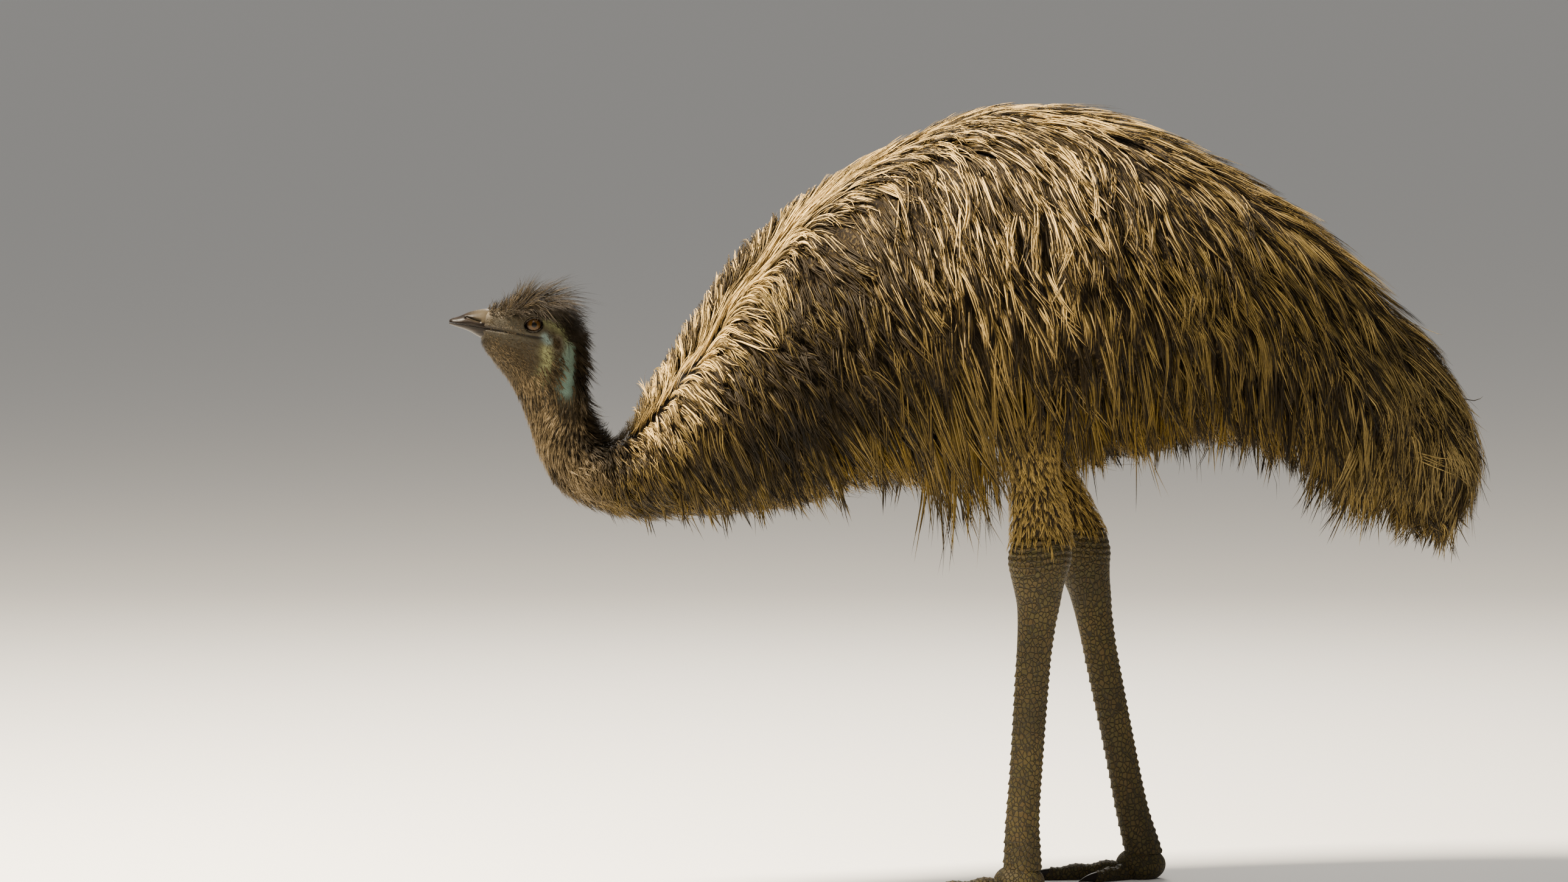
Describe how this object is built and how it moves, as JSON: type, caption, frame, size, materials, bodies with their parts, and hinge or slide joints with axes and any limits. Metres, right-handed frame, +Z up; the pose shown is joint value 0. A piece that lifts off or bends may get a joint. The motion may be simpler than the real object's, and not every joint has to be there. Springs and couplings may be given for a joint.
{
  "type": "emu",
  "caption": "Life-size standing emu with an arched, shaggy back, lowered neck and raised head, one leg set behind the other.",
  "frame": {"origin": "bottom centre of the bird's box, on the ground between its feet", "axes": "+Z up, +X towards the tail along the body, +Y towards the bird's right side"},
  "size_m": [1.3886, 0.4426, 1.0398],
  "materials": {
    "plumage": "long shaggy grey-brown feathers, darker towards their tips",
    "neck_hair": "short hair-like dark brown feathers",
    "skin": "matte bluish-grey bare skin, greenish behind the ear",
    "leg_feather": "short tan feathers with dark flecks",
    "scale": "dry grey-brown scaled skin",
    "horn": "dark satin horn",
    "eye": "wet, clear and glossy"
  },
  "bodies": {
    "root": {"head": "skin", "neck_upper": "neck_hair", "neck_lower": "neck_hair", "torso": "plumage", "tail": "plumage", "bill_upper": "horn", "bill_lower": "horn", "eye_left": "eye", "eye_right": "eye", "drumstick_left": "leg_feather", "shank_left": "scale", "toe_middle_left": "scale", "claw_middle_left": "horn", "toe_inner_left": "scale", "claw_inner_left": "horn", "toe_outer_left": "scale", "claw_outer_left": "horn", "drumstick_right": "leg_feather", "shank_right": "scale", "toe_middle_right": "scale", "claw_middle_right": "horn", "toe_inner_right": "scale", "claw_inner_right": "horn", "toe_outer_right": "scale", "claw_outer_right": "horn"}
  },
  "joints": []
}
